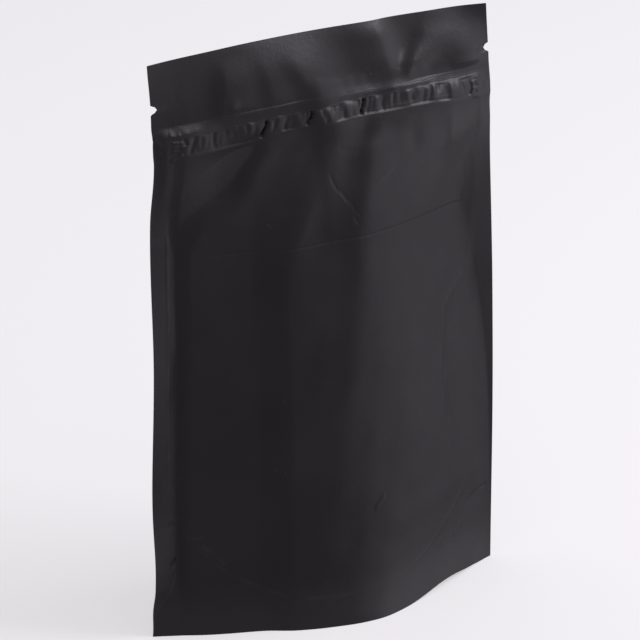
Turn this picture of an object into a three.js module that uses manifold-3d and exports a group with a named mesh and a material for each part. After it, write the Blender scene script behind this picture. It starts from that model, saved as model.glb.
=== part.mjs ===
// A stand-up zipper pouch of matt black film, shut, standing on its opened bottom gusset.
// Millimetres, +Z up. The front panel faces -Y. The origin is on the floor, under the
// middle of the pouch's bounding box.

import * as THREE from 'three';
import { ParametricGeometry } from 'three/addons/geometries/ParametricGeometry.js';
import { mergeGeometries, mergeVertices } from 'three/addons/utils/BufferGeometryUtils.js';
import Module from 'manifold-3d';

// Driving dimensions of the whole pouch
const HEIGHT = 222; // floor to the corners of the top edge
const TOP_ARCH = 0.9; // the middle of the top edge stands this much higher
const HALF_WIDTH = 73.2; // middle to side edge, with the base open
const BELLY = 26.5; // how far each panel stands out from the plane of the side seals
const FLARE = 1.6; // the skirt spreads this much further at the floor
const FLARE_POWER = 1.5;
const FLARE_END = 0.7; // it fades from here to the corners, as a share of the half width
const FILM = 0.2; // half of a sealed edge, which is two plies of film

// Seals
const SIDE_SEAL = 7.3; // width of the strip that joins the panels at each side
const SEAL_EDGE = 1 - SIDE_SEAL / HALF_WIDTH; // its inner edge, as a share of the half width
const GUSSET = 44; // height at which the side seals pinch the folded gusset
const SKIRT = 11; // height of the bottom seal at the middle of a panel
const SKIRT_BEND = 2.93; // how sharply the bottom seal turns up towards the sides
const SKIRT_REACH = 0.87; // it meets the gusset's fold here, as a share of the half width

// Press-to-close zip, which shows as relief under the film. Its section holds pairs of a height and how far
// the film stands proud there: the lower ridge, the closed profile, the flange and the upper ridge.
const ZIP_TOP = 198.5; // where the header begins
const ZIP_BOTTOM = 188; // where the belly ends
const ZIP_SECTION = [
  [168, 0], [176, 0.4], [182, 1], [186, 1.6], [187.6, 2.2], [188.4, 2.3], [189.4, 2], [191.5, 2.05],
  [194, 1.6], [195.6, 1], [196.4, 0.9], [198, 0.75], [198.9, 0.5], [200.5, 0.15], [203, 0],
];
// Along the zip, from left to right: how strong the relief is, and how far the zip rises out of the level.
// The film rises with it from a height of its own, and less and less towards the top edge.
const ZIP_STRENGTH = [[-1, 0.8], [-0.6, 0.7], [-0.2, 0.65], [0.1, 1.25], [1, 1.3]];
const ZIP_LIFT = [[-1, -0.6], [-0.7, -0.3], [-0.4, 0.3], [0, 1.5], [0.6, 1.6], [1, 1.4]];
const LIFT_FROM = 150;
const CRUSHED = 0.6; // share of the relief that is left where the side seals crush the zip
const CRUSH_BAND = 0.03; // as a share of the half width
const SHARED_FROM = 0.45; // from here outwards both films follow the front's relief more and more,
const SHARED_FULL = 0.86; // and from here on all of it, so that the sealed ends stay thin

// Header, the flat strip above the zip
const HEADER_BOW = 6.6; // the middle of the top edge leans back this far
const HEADER_CURL = 1.3; // how late the header leans back
const BOW_POWERS = { left: 2, right: 3.5 }; // how late it stops leaning towards the sides
const TOP_TWIST = 5.2; // the top edge is turned: its right end lies this far behind the middle
const ZIP_BOW = 2.4; // the middle of the zip stands this far forward
const ZIP_BOW_SKEW = 0.3; // and a little more on the right
const ZIP_BOW_FROM = 90;
const ZIP_BOW_TO = 185;

// Soft folds of the header: place along the crest, height, reach to the left and to the right, and the
// heights at which the fold starts and ends
const HEADER_FOLDS = [
  { place: [[200, -0.6], [214, -0.56]], proud: 0.7, left: 4.5, right: 12, from: 197, to: 220 },
  { place: [[186, -0.04], [203, -0.08], [214, -0.17]], proud: 1.2, left: 5.5, right: 11, from: 180, to: 220 },
  { place: [[196, 0.41], [206, 0.385]], proud: 1.2, left: 6, right: 12, from: 193, to: 212 },
  { place: [[205, 0.37], [222, 0.31]], proud: 1.8, left: 14, right: 5.5, from: 200, to: 228 },
  { place: [[207, 0.53], [217, 0.66]], proud: 1.2, left: 4.5, right: 12, from: 202, to: 223 },
];
const FOLD_FADE = 10; // a header fold grows and fades over this height

// Tear notches in both side edges
const NOTCH_HEIGHT = 205.8; // above the floor
const NOTCH_DEPTH = 2.4;
const NOTCH_HALF = 1.6; // half of the mouth

// Shape of a panel: a tent with a rounded ridge. On the left it climbs in two steps, one where the belly
// starts and one along a long fold, and on the right it runs out gently. Each list holds pairs of a height
// and the value there. Places and half widths are shares of the half width.
const BELLY_SHARE = [
  [0, 1], [8, 0.93], [15, 0.887], [25, 0.862], [50, 0.832], [75, 0.797], [100, 0.74], [130, 0.605],
  [148, 0.48], [160, 0.385], [170, 0.285], [178, 0.19], [184, 0.1], [188, 0.04], [192, 0],
];
const RIDGE_PLACE = [[0, 0.05], [30, -0.05], [60, -0.05], [120, 0.01], [150, 0.06], [170, 0.11], [190, 0.2]];
const RIDGE_ROUNDING = [[0, 0.18], [20, 0.35], [50, 0.7], [80, 0.9]];
const START_PLACE = [[150, -0.83], [158, -0.81], [166, -0.69], [170, -0.59], [178, -0.48], [190, -0.37]];
const START_HALF = [[150, 0.045], [158, 0.085], [166, 0.12], [170, 0.11], [178, 0.07], [190, 0.06]];
const START_SHARE = [[0, 0], [44, 0.03], [100, 0.05], [120, 0.09], [150, 0.19], [160, 0.36], [170, 0.5]];
const STEP_PLACE = [
  [0, -0.4], [110, -0.4], [130, -0.41], [140, -0.39], [150, -0.36], [160, -0.32], [170, -0.26], [178, -0.2],
  [190, -0.07],
];
const STEP_HALF = [[0, 0.08], [120, 0.08], [140, 0.09], [150, 0.12], [170, 0.18], [178, 0.17], [190, 0.1]];
const STEP_SHARE = [[0, 0.06], [12, 0.15], [44, 0.24], [100, 0.28], [130, 0.29], [150, 0.34], [170, 0.42]];
const RUN_OUT_SHARE = [[0, 0.2], [40, 0.5], [100, 0.7], [130, 0.85], [160, 1], [170, 0.9], [178, 0.5]];
const RUN_OUT_BEND = 2.4;
const RUN_OUT_POWER = 2;
const LEFT_EDGE = [[0, 1], [8, 0.98], [24, 0.87], [60, 0.86], [190, 0.87]]; // the belly ends here
const RIGHT_EDGE = [[0, 1], [44, 0.985], [80, 0.96], [130, 0.87], [150, 0.83], [165, 0.86], [190, 0.9]];

// The front's bottom edge arches off the floor beside its right corner, and the film above it follows
const ARCH_RISE = 2.8;
const ARCH_PLACE = 0.62;
const ARCH_REACH = 0.2;
const ARCH_HEIGHT = 36;

// A second long fold, which hangs from the zip right of the middle
const FOLD_PLACE = [[100, 0], [120, 0.03], [140, 0.08], [170, 0.17], [188, 0.25]];
const FOLD_PROUD = 1.1;
const FOLD_LEFT = 7;
const FOLD_RIGHT = 11;
const FOLD_LOW = 90; // it grows from here up
const FOLD_FULL = 130;
const FOLD_HIGH = 187; // and fades from 6 mm below this height
const FOLD_RUN_OUT = 6;

// Small waves of the side edges: height, reach up and down, shift to the right
const LEFT_WAVES = [
  { height: 30, reach: 16, shift: 0.6 },
  { height: 115, reach: 22, shift: 0.4 },
  { height: 184, reach: 13, shift: 1.1 },
  { height: 226, reach: 13, shift: -1 },
];
const RIGHT_WAVES = [
  { height: 70, reach: 55, shift: 0.8 },
  { height: 186, reach: 5, shift: -0.4 },
];
const RIGHT_TAPER = 1.9; // the right edge drifts in by this much towards the top
const RIGHT_TAPER_FROM = 110;

// Hollow under the gusset
const RECESS_END = 0.93; // it ends here, as a share of the half width
const RECESS_PINCH = 0.094; // over this share it closes up towards its ends
const PINCH_POWER = 0.7;
const FOLD_RISE = 7; // the gusset's middle crease stands this far above the skirt's seal

// Grid
const COLUMNS = 50;
const WALL_STEPS = 4; // of the hollow, up each skirt
const CEILING_STEPS = 5; // odd, so that two rows lie beside the middle
const LAST_STEP = 2 * WALL_STEPS + CEILING_STEPS;

// A bell-shaped hump of height 1
function hump(distance, width) {
  return Math.exp(-((distance / width) ** 2));
}

// 0 below one value, 1 above another, smooth between
function ease(value, from, to) {
  return THREE.MathUtils.smoothstep(value, from, to);
}

// A smooth curve through pairs of a height and a value, which never overshoots them
function along(pairs, z) {
  const rises = pairs.slice(1).map(([top, value], i) => (value - pairs[i][1]) / (top - pairs[i][0]));
  const slopes = pairs.map((_, i) => {
    const below = rises[i - 1] ?? 0;
    const above = rises[i] ?? 0;
    return below * above > 0 ? (2 * below * above) / (below + above) : 0;
  });
  const next = pairs.findIndex(([height]) => height >= z);
  if (next === 0) return pairs[0][1];
  if (next < 0) return pairs.at(-1)[1];
  const [bottom, first] = pairs[next - 1];
  const [top, second] = pairs[next];
  const step = top - bottom;
  const t = (z - bottom) / step;
  const leaving = (1 + 2 * t) * (1 - t) ** 2 * first + t * (1 - t) ** 2 * step * slopes[next - 1];
  const arriving = t * t * (3 - 2 * t) * second + t * t * (t - 1) * step * slopes[next];
  return leaving + arriving;
}

// A ridge with a reach of its own on either side
function ridge(s, place, left, right) {
  const distance = (s - place) * HALF_WIDTH;
  return hump(distance, distance < 0 ? left : right);
}

// Sum of the waves of one side edge at a height
function edgeShift(waves, z) {
  return waves.reduce((sum, wave) => sum + wave.shift * hump(z - wave.height, wave.reach), 0);
}

// Place across the pouch: s runs from -1 at the left edge to 1 at the right edge
function across(s, z) {
  const left = -HALF_WIDTH + edgeShift(LEFT_WAVES, z);
  const taper = RIGHT_TAPER * ease(z, RIGHT_TAPER_FROM, HEIGHT);
  const right = HALF_WIDTH + edgeShift(RIGHT_WAVES, z) - taper;
  return THREE.MathUtils.lerp(left, right, (s + 1) / 2);
}

// How much a header fold stands out at a height
function foldStrength(fold, z) {
  return ease(z, fold.from, fold.from + FOLD_FADE) * (1 - ease(z, fold.to - FOLD_FADE, fold.to));
}

// Share of the zip's relief that both films follow
function shared(s) {
  return ease(Math.abs(s), SHARED_FROM, SHARED_FULL);
}

// Depth of the sheet in which the side seals, the zip and the header lie
function sealPlane(s, z) {
  const twist = (TOP_TWIST * s * z) / HEIGHT;
  const forward = ZIP_BOW * (1 - s * s) * (1 + ZIP_BOW_SKEW * s) * ease(z, ZIP_BOW_FROM, ZIP_BOW_TO);
  const up = THREE.MathUtils.clamp((z - ZIP_TOP) / (HEIGHT - ZIP_TOP), 0, 1);
  const power = s < 0 ? BOW_POWERS.left : BOW_POWERS.right;
  const bow = HEADER_BOW * (1 - Math.abs(s) ** power) * up ** HEADER_CURL;
  const folds = HEADER_FOLDS.reduce((sum, fold) => {
    const crest = ridge(s, along(fold.place, z), fold.left, fold.right);
    return sum + fold.proud * crest * foldStrength(fold, z);
  }, 0);
  return twist - forward + bow - folds - shared(s) * zipRelief(s, z);
}

// A roof with a rounded ridge: 1 at the ridge, 0 at a distance of 1
function tent(distance, rounding) {
  const apex = Math.hypot(1, rounding);
  return (apex - Math.hypot(Math.min(distance, 1), rounding)) / (apex - rounding);
}

// The climb from the left seal to the ridge: a tent and two steps, each with its share of the height
function climb(s, z, top, edge) {
  const start = along(START_PLACE, z);
  const startHalf = along(START_HALF, z);
  const startShare = along(START_SHARE, z);
  const step = along(STEP_PLACE, z);
  const stepHalf = along(STEP_HALF, z);
  const stepShare = along(STEP_SHARE, z);
  const roof = (1 - startShare - stepShare) * tent((top - s) / (top + edge), along(RIDGE_ROUNDING, z));
  const first = startShare * ease(s, start - startHalf, start + startHalf);
  return roof + first + stepShare * ease(s, step - stepHalf, step + stepHalf);
}

// The fall from the ridge to the right seal: a tent blended with a run-out that ends level
function fall(s, z, top, edge) {
  const distance = Math.min((s - top) / (edge - top), 1);
  const runOut = (1 - distance ** RUN_OUT_BEND) ** RUN_OUT_POWER;
  return THREE.MathUtils.lerp(tent(distance, along(RIDGE_ROUNDING, z)), runOut, along(RUN_OUT_SHARE, z));
}

// How far a panel is swollen off the seal plane, between the floor and the zip
function swell(s, z) {
  const depth = BELLY * along(BELLY_SHARE, z);
  const top = along(RIDGE_PLACE, z);
  const form = s < top ? climb(s, z, top, along(LEFT_EDGE, z)) : fall(s, z, top, along(RIGHT_EDGE, z));
  const flare = FLARE * Math.max(1 - z / SKIRT, 0) ** FLARE_POWER * (1 - ease(Math.abs(s), FLARE_END, 1));
  return depth * form + flare;
}

// The second long fold of the front panel
function longFold(s, z) {
  const window = ease(z, FOLD_LOW, FOLD_FULL) * (1 - ease(z, FOLD_HIGH - FOLD_RUN_OUT, FOLD_HIGH));
  return FOLD_PROUD * window * ridge(s, along(FOLD_PLACE, z), FOLD_LEFT, FOLD_RIGHT);
}

// The zip's section, stronger towards the right and crushed in the side seals
function zipRelief(s, z) {
  const inSeal = ease(Math.abs(s), SEAL_EDGE - CRUSH_BAND, SEAL_EDGE + CRUSH_BAND);
  const strength = along(ZIP_STRENGTH, s) * THREE.MathUtils.lerp(1, CRUSHED, inSeal);
  return strength * along(ZIP_SECTION, z);
}

// Rise of the film that follows the zip's own line, and the arch of the top edge
function zipRise(s, z) {
  const following = ease(z, LIFT_FROM, ZIP_BOTTOM) * (1 - ease(z, ZIP_TOP, HEIGHT));
  return along(ZIP_LIFT, s) * following + TOP_ARCH * (1 - s * s) * ease(z, ZIP_TOP, HEIGHT);
}

// Rise of the front's bottom edge beside its right corner
function archRise(s, z) {
  return ARCH_RISE * hump(s - ARCH_PLACE, ARCH_REACH) * Math.max(1 - z / ARCH_HEIGHT, 0) ** 2;
}

// Distance of the outer face of each panel from the seal plane
function frontOffset(s, z) {
  return FILM + swell(s, z) + longFold(s, z) + (1 - shared(s)) * zipRelief(s, z);
}

function backOffset(s, z) {
  return FILM + swell(-s, z) + (1 - shared(s)) * zipRelief(s, z);
}

function frontPoint(s, z, target) {
  return target.set(across(s, z), sealPlane(s, z) - frontOffset(s, z), z + zipRise(s, z) + archRise(s, z));
}

function backPoint(s, z, target) {
  return target.set(across(s, z), sealPlane(s, z) + backOffset(s, z), z + zipRise(s, z));
}

// Height of the curved seal that joins a panel's skirt to the gusset
function skirtTop(s) {
  const curve = SKIRT + (GUSSET - SKIRT) * Math.min(Math.abs(s) / SKIRT_REACH, 1) ** SKIRT_BEND;
  const pinch = THREE.MathUtils.clamp((RECESS_END + 0.01 - Math.abs(s)) / RECESS_PINCH, 0, 1);
  return curve * pinch ** PINCH_POWER;
}

// The hollow under the pouch: up the back skirt, over the gusset's crease, down the front skirt
function recessPoint(s, step, target) {
  const top = skirtTop(s);
  const wall = Math.min(step, LAST_STEP - step, WALL_STEPS) / WALL_STEPS;
  const z = top * wall;
  const back = sealPlane(s, z) + backOffset(s, z) - 2 * FILM;
  const front = sealPlane(s, z) - frontOffset(s, z) + 2 * FILM;
  const over = THREE.MathUtils.clamp((step - WALL_STEPS) / CEILING_STEPS, 0, 1);
  const rise = FOLD_RISE * (1 - Math.abs(s)) * (1 - Math.abs(2 * over - 1));
  return target.set(across(s, z), THREE.MathUtils.lerp(back, front, over), z + rise + archRise(s, z) * over);
}

// The closed underside of a bottom corner, beside the hollow: a fan from the corner's tip
function cornerFan(side) {
  const end = side * RECESS_END;
  const hub = frontPoint(side, 0, new THREE.Vector3());
  const rim = [
    frontPoint(end, 0, new THREE.Vector3()),
    recessPoint(end, LAST_STEP, new THREE.Vector3()),
    recessPoint(end, 0, new THREE.Vector3()),
    backPoint(end, 0, new THREE.Vector3()),
    backPoint(side, 0, new THREE.Vector3()),
  ];
  const blades = rim.slice(1).flatMap((next, i) => (side > 0 ? [hub, rim[i], next] : [hub, next, rim[i]]));
  const fan = new THREE.BufferGeometry().setFromPoints(blades);
  fan.setIndex(blades.map((_, i) => i));
  return fan;
}

// Heights of the grid's rows: close together at the zip, wider on the plain film
function span(from, to, steps) {
  return Array.from({ length: steps }, (_, i) => THREE.MathUtils.lerp(from, to, i / steps));
}
const ROWS = [
  ...span(0, SKIRT, 3),
  ...span(SKIRT, 48, 5),
  ...span(48, 176, 14),
  176, 180, 183.5, 186, 187.2, 188.2, 189.2, 190.6, 192.2, 194, 195.2, 196.2, 197.4, 198.4, 199.4, 201,
  ...span(203.5, HEIGHT, 6),
  HEIGHT,
];

// Places of the grid's columns: one on each edge and on each end of the hollow, the rest even
const COLUMN_PLACES = [-1, ...span(-RECESS_END, RECESS_END, COLUMNS - 2), RECESS_END, 1];

// Keeps only the places of the corners, so that patches join where they meet
function bare(geometry) {
  geometry.deleteAttribute('normal');
  geometry.deleteAttribute('uv');
  return geometry;
}

// A patch of the skin: a function of a column's place and a row's number, over whole cells
function patch(point, firstColumn, lastColumn, rows) {
  const columns = Math.abs(lastColumn - firstColumn);
  const surface = (u, v, target) => {
    const column = Math.round(THREE.MathUtils.lerp(firstColumn, lastColumn, u));
    point(COLUMN_PLACES[column], Math.round(v * rows), target);
  };
  return new ParametricGeometry(surface, columns, rows);
}

// A narrow strip between two rims: a function of which rim, 0 or 1, and a row's number
function strip(point, rows) {
  const surface = (u, v, target) => point(Math.round(u), Math.round(v * rows), target);
  return new ParametricGeometry(surface, 1, rows);
}

function skin() {
  const lastRow = ROWS.length - 1;
  const endColumn = COLUMNS - 1;
  const halfStep = (LAST_STEP - 1) / 2;
  const front = (s, row, target) => frontPoint(s, ROWS[row], target);
  const back = (s, row, target) => backPoint(s, ROWS[row], target);
  const topRim = (s, side, target) => (side ? backPoint : frontPoint)(s, HEIGHT, target);
  const backRim = (s, side, target) => (side ? recessPoint(s, 0, target) : backPoint(s, 0, target));
  const frontRim = (s, side, target) => (side ? frontPoint(s, 0, target) : recessPoint(s, LAST_STEP, target));
  const rightEdge = (side, row, target) => (side ? backPoint : frontPoint)(1, ROWS[row], target);
  const leftEdge = (side, row, target) => (side ? frontPoint : backPoint)(-1, ROWS[row], target);
  const leftWall = (side, step, target) => recessPoint(-RECESS_END, side ? step : LAST_STEP - step, target);
  const rightWall = (side, step, target) => recessPoint(RECESS_END, side ? LAST_STEP - step : step, target);
  const patches = [
    patch(front, 0, COLUMNS, lastRow),
    patch(back, COLUMNS, 0, lastRow),
    patch(topRim, 0, COLUMNS, 1),
    strip(rightEdge, lastRow),
    strip(leftEdge, lastRow),
    cornerFan(-1),
    cornerFan(1),
    patch(backRim, 1, endColumn, 1),
    patch(frontRim, 1, endColumn, 1),
    patch(recessPoint, 1, endColumn, LAST_STEP),
    strip(leftWall, halfStep),
    strip(rightWall, halfStep),
  ];
  return mergeGeometries(patches.map(bare));
}

// A cutter for one tear notch: a short slot with a blunt point, cut through both plies
function notchCutter(side) {
  const outside = 3;
  const shape = new THREE.Shape();
  shape.moveTo(outside, -NOTCH_HALF);
  shape.lineTo(outside, NOTCH_HALF);
  shape.lineTo(-NOTCH_DEPTH * 0.45, NOTCH_HALF * 0.9);
  shape.quadraticCurveTo(-NOTCH_DEPTH * 0.85, NOTCH_HALF * 0.7, -NOTCH_DEPTH, 0);
  shape.quadraticCurveTo(-NOTCH_DEPTH * 0.85, -NOTCH_HALF * 0.7, -NOTCH_DEPTH * 0.45, -NOTCH_HALF * 0.9);
  const depth = BELLY;
  const cutter = new THREE.ExtrudeGeometry(shape, { depth, bevelEnabled: false, curveSegments: 3 });
  cutter.translate(0, 0, -depth / 2);
  cutter.rotateX(Math.PI / 2);
  cutter.rotateZ(side > 0 ? 0 : Math.PI);
  cutter.translate(across(side, NOTCH_HEIGHT), sealPlane(side, NOTCH_HEIGHT), NOTCH_HEIGHT);
  return cutter;
}

const wasm = await Module();
wasm.setup();

function toSolid(geometry) {
  const merged = mergeVertices(bare(geometry), 1e-4);
  return new wasm.Manifold(new wasm.Mesh({
    numProp: 3,
    vertProperties: new Float32Array(merged.getAttribute('position').array),
    triVerts: new Uint32Array(merged.index.array),
  }));
}

function toGeometry(solid) {
  const mesh = solid.getMesh();
  const geometry = new THREE.BufferGeometry();
  geometry.setAttribute('position', new THREE.BufferAttribute(mesh.vertProperties, 3));
  geometry.setIndex(new THREE.BufferAttribute(mesh.triVerts, 1));
  return geometry;
}

// The pouch is one piece: its films and its zip are welded together
function makePouch() {
  const body = toSolid(skin());
  const notched = body.subtract(toSolid(notchCutter(-1))).subtract(toSolid(notchCutter(1)));
  const geometry = toGeometry(notched);
  geometry.computeBoundingBox();
  const middle = geometry.boundingBox.getCenter(new THREE.Vector3());
  geometry.translate(-middle.x, -middle.y, -geometry.boundingBox.min.z);
  geometry.computeVertexNormals();
  const film = new THREE.MeshStandardMaterial({ color: 0x2a282b, roughness: 0.55, metalness: 0 });
  const pouch = new THREE.Mesh(geometry, film);
  pouch.name = 'pouch';
  return pouch;
}

const zipperPouch = new THREE.Group();
zipperPouch.add(makePouch());

export default zipperPouch;
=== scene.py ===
# %% [markdown]
# # A stand-up zipper pouch of matt black film
#
# The pouch is shut and stands on its opened bottom gusset. Two panels of film are welded together along
# the sides and over the zip, and the gusset is welded to both panels along a curved seal. So the whole
# thing is one skin. It is worked out here as two height fields, one for each panel. Both start from one
# thin sheet, the sheet of the seals, and stand off it by a ply, a few millimetres or the full belly.
# A height field takes any number of folds by simple addition, and it stays one closed mesh.
#
# Sizes of the pouch are in millimetres here, and its finished mesh is scaled to metres. The floor and
# the lights are placed in metres.

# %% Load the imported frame
import math

import bpy
import numpy as np
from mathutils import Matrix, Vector


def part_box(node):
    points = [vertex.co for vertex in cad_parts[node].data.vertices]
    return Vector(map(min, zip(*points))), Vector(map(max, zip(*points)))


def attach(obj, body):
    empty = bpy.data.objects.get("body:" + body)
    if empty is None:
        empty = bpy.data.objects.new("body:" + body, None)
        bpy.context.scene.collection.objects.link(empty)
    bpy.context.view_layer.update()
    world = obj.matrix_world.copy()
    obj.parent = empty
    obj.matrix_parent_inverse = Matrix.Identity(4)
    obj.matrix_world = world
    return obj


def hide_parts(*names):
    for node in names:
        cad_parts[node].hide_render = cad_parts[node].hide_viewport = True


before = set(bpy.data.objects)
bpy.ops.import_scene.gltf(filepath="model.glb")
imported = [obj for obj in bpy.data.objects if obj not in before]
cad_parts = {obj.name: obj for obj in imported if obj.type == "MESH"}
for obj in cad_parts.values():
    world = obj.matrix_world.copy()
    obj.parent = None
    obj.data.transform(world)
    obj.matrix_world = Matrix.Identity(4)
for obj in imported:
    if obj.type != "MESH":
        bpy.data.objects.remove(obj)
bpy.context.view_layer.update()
node_low, node_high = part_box("pouch")
MM = 0.001
# The middle of the top edge is higher than its corners by this much.
TOP_ARCH = 0.9
HEIGHT = (node_high.z - node_low.z) / MM - TOP_ARCH
print(f"pouch node: {(node_high.x - node_low.x) / MM:.1f} mm wide, {HEIGHT:.1f} mm high at its corners")

# %% [markdown]
# ## Driving sizes
#
# These are the sizes of the film as it was cut and welded. Heights are counted from the floor. Places
# across the pouch are given as a share s of the half width, from -1 at the left edge to 1 at the right
# edge, so that a place keeps its meaning where the edges waver.

# %% Sizes
HALF_WIDTH = 73.2
BELLY = 26.5
PLY = 0.2
THINNEST = 0.08
SIDE_SEAL = 7.3
SEAL_EDGE = 1 - SIDE_SEAL / HALF_WIDTH
SEAL_FADE = 0.06
GUSSET = 44.0
SKIRT = 11.0
ZIP_TOP = 198.5
ZIP_BOTTOM = 187.9
print(f"sealed strip from s = {SEAL_EDGE:.2f} outwards, zip from {ZIP_BOTTOM} to {ZIP_TOP} mm")

# %% [markdown]
# ## Small tools for height fields
#
# Most of the shape is made from three things: a smooth step, a bell, and a smooth curve through a few
# given points. Soft unevenness comes from a sum of long waves with seeded random directions.
# A noise texture could do the same in the material, but only real geometry changes the outline and the
# mesh.


# %% Steps, bells and curves
def ease(value, start, stop):
    """Smooth step: 0 before start, 1 after stop, 3t² - 2t³ between. Start may lie above stop."""
    t = np.clip((value - start) / (stop - start), 0, 1)
    return t * t * (3 - 2 * t)


def bell(distance, width):
    """1 in the middle, falling off as exp(-(distance / width)²)."""
    return np.exp(-((distance / width) ** 2))


def skew_bell(offset, left, right):
    """A bell with a width of its own on either side."""
    return bell(offset, np.where(offset < 0, left, right))


def bells_up(z, bells):
    """Sum of bells up the pouch, each given as a height, a reach up and down and a size."""
    return sum(size * bell(z - height, reach) for height, reach, size in bells)


def mix(a, b, share):
    """Straight blend from a to b."""
    return a + (b - a) * share


def curve(x, points):
    """Smooth curve through (x, y) points: cubic pieces, level at every peak and valley, no overshoot."""
    px, py = np.array(points, float).T
    rise = np.diff(py) / np.diff(px)
    product, total = rise[:-1] * rise[1:], rise[:-1] + rise[1:]
    inner = np.where(product > 0, 2 * product / np.where(product > 0, total, 1), 0)
    slope = np.concatenate([rise[:1], inner, rise[-1:]])
    i = np.clip(np.searchsorted(px, x) - 1, 0, len(px) - 2)
    step = px[i + 1] - px[i]
    t = np.clip((x - px[i]) / step, 0, 1)
    start = (1 + 2 * t) * (1 - t) ** 2 * py[i] + t * (1 - t) ** 2 * step * slope[i]
    stop = t * t * (3 - 2 * t) * py[i + 1] + t * t * (t - 1) * step * slope[i + 1]
    return start + stop


print(f"a smooth step is {ease(0.25, 0, 1):.2f} at a quarter of its way")


# %% Waves and distances
WAVE_COUNT = 14
WAVE_SPREAD = (0.7, 1.5)


def unevenness(x, z, length, seed):
    """Sum of waves of about this length in random directions, scaled to about ±1."""
    draw = np.random.default_rng(seed)
    total = 0
    for _ in range(WAVE_COUNT):
        turn = draw.uniform(0, math.pi)
        rate = 2 * math.pi / (length * draw.uniform(*WAVE_SPREAD))
        phase = draw.uniform(0, 2 * math.pi)
        total = total + np.sin(rate * (x * math.cos(turn) + z * math.sin(turn)) + phase)
    return total / math.sqrt(WAVE_COUNT)


def line_distance(s, z, points):
    """Distance in mm to a line of (s, z) points, and how far along it the nearest place is, 0 to 1."""
    x = s * HALF_WIDTH
    best = np.full(np.broadcast(s, z).shape, np.inf)
    place = np.zeros_like(best)
    pieces = len(points) - 1
    for i, ((sa, za), (sb, zb)) in enumerate(zip(points, points[1:])):
        ax, dx, dz = sa * HALF_WIDTH, (sb - sa) * HALF_WIDTH, zb - za
        t = np.clip(((x - ax) * dx + (z - za) * dz) / (dx * dx + dz * dz), 0, 1)
        gap = np.hypot(x - ax - t * dx, z - za - t * dz)
        nearer = gap < best
        best = np.where(nearer, gap, best)
        place = np.where(nearer, (i + t) / pieces, place)
    return best, place


print(f"unevenness is a sum of {WAVE_COUNT} waves")

# %% [markdown]
# ## The cut edges
#
# The side edges of an opened pouch are never quite straight: the belly pulls them in where it is wide.
# Each edge is a straight line plus a few bells. A tear notch is a bite out of the edge beside the
# header. Only the outermost columns of the grid move for it, so the header's folds stay in place.

# %% Side edges and tear notches
LEFT_WAVES = ((4, 9, 0.8), (30, 16, 0.3), (115, 22, 0.4), (184, 13, 0.1), (226, 13, -1.0))
LEFT_SHIFT = -1.25
LEFT_SHIFT_FROM, LEFT_SHIFT_FULL = 186, 164
RIGHT_WAVES = ((70, 55, 0.8), (186, 5, -0.4))
RIGHT_TAPER = 2.1
RIGHT_TAPER_FROM = 110
NOTCH_HEIGHT = 205.8
NOTCH_HALF = 1.6
NOTCH_LEFT, NOTCH_RIGHT = 2.5, 2.1
NOTCH_TAPER = 0.5
NOTCH_CORNER = 0.86
NOTCH_REACH = 0.9


def notch_bite(s, z):
    """How far the edge moves inwards: a slot with a blunt point, deepest half way up its mouth."""
    t = np.clip(np.abs(z - NOTCH_HEIGHT) / NOTCH_HALF, 0, 1)
    slot = (1 - NOTCH_TAPER * t) * ease(t, 1, NOTCH_CORNER)
    outer = np.clip((np.abs(s) - NOTCH_REACH) / (1 - NOTCH_REACH), 0, 1)
    return np.where(s < 0, NOTCH_LEFT, -NOTCH_RIGHT) * slot * outer


def across(s, z):
    """Place across: straight blend between the two edges at that height, plus the notches."""
    left = -HALF_WIDTH + bells_up(z, LEFT_WAVES) + LEFT_SHIFT * ease(z, LEFT_SHIFT_FROM, LEFT_SHIFT_FULL)
    right = HALF_WIDTH + bells_up(z, RIGHT_WAVES) - RIGHT_TAPER * ease(z, RIGHT_TAPER_FROM, HEIGHT)
    return mix(left, right, (s + 1) / 2) + notch_bite(s, z)


print(f"top edge from {across(-1, HEIGHT):.1f} to {across(1, HEIGHT):.1f} mm")

# %% [markdown]
# ## Folds of the header
#
# The side seals, the zip and the header lie in one thin sheet. The header, the strip above the zip, has
# a few soft folds that both films share. A fold is a ridge along a curve, with a width of its own on
# either side, because film that hangs folds steeply on one side and runs out gently on the other.
# Each is given by its crest as (height, s) points, its height, its reach to the left and to the right,
# how softly its lower end fades, and the share of its height that it has there.

# %% Ridges, domes and header folds
RIDGE_FADE = 6.0
HEADER_FADE = 6
HEADER_FOLDS = (
    (((200, -0.6), (206, -0.58), (214, -0.56)), 1.4, 4.5, 14.0, 3.0, 1.0),
    (((200, -0.31), (206, -0.32), (214, -0.34)), 0.5, 4.0, 9.0, 3.0, 1.0),
    (((186, -0.04), (197, -0.06), (203, -0.08), (208, -0.13), (214, -0.17)), 0.8, 5.5, 11.0, 6.0, 1.6),
    (((196, 0.41), (200, 0.4), (206, 0.385)), 0.9, 6.0, 12.0, 3.0, 1.0),
    (((205, 0.37), (212, 0.35), (222, 0.31)), 1.8, 14.0, 5.5, 5.0, 1.0),
    (((203, 0.5), (207, 0.53), (214, 0.62)), 1.2, 4.5, 11.0, 4.0, 1.9),
)
HEADER_DOMES = (
    ((0.86, 203.5), (12.0, 7.0, 2.6, 11.0), 2.3),
    ((-0.55, 202), (2.2, 2.2, 2.6, 2.6), 0.25),
)


def ridge(s, z, points, height, left, right, fade=RIDGE_FADE, low_share=1.0):
    """A bell across a curve of (z, s) points, skew and faded at both ends. Height below 0: a valley."""
    offset = (s - curve(z, points)) * HALF_WIDTH
    low, high = points[0][0], points[-1][0]
    ends = ease(z, low - fade, low + fade) * ease(z, high + RIDGE_FADE, high - RIDGE_FADE)
    strength = height * mix(low_share, 1, ease(z, low, high))
    return strength * skew_bell(offset, left, right) * ends


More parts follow.
